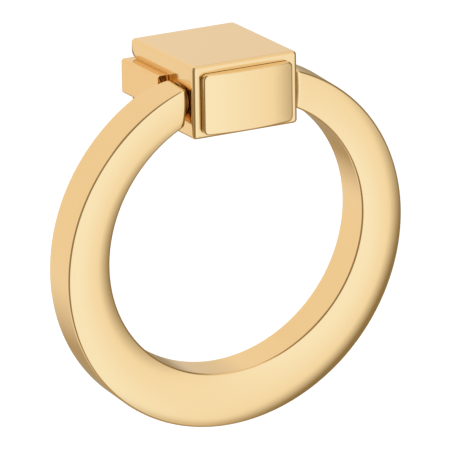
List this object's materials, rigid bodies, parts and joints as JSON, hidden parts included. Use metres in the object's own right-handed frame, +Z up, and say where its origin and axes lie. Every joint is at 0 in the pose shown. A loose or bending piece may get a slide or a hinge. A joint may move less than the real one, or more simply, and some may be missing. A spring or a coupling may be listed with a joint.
{
  "type": "ring pull handle",
  "caption": "Brass ring pull: an open crowned ring swings on side pins in a square block that stands off the drawer front and screws on from behind.",
  "frame": {"origin": "centre of the screw hole on the mounting face, in the middle of the housing", "axes": "+X to the right as one faces the handle, +Y into the drawer front, +Z up"},
  "size_m": [0.073, 0.0271, 0.0751],
  "materials": {
    "housing_brass": "satin brushed, lacquered",
    "stop_bar_brass": "satin brushed, lacquered",
    "panel_brass": "satin brushed, lacquered",
    "ring_brass": "satin brushed, lacquered",
    "pivot_brass": "turned, bare"
  },
  "bodies": {
    "base": {"housing": "housing_brass", "stop_bar": "stop_bar_brass", "front_panel": "panel_brass", "pivot_pin_left": "pivot_brass", "pivot_pin_right": "pivot_brass", "pivot_washer_left": "pivot_brass", "pivot_washer_right": "pivot_brass"},
    "ring": {"ring": "ring_brass"}
  },
  "joints": [
    {"name": "ring_swing", "type": "hinge", "parent": "base", "child": "ring", "pos_m": [0, -0.019, -0.00035], "axis": [-1, 0, 0], "range_deg": [0, 98]}
  ]
}
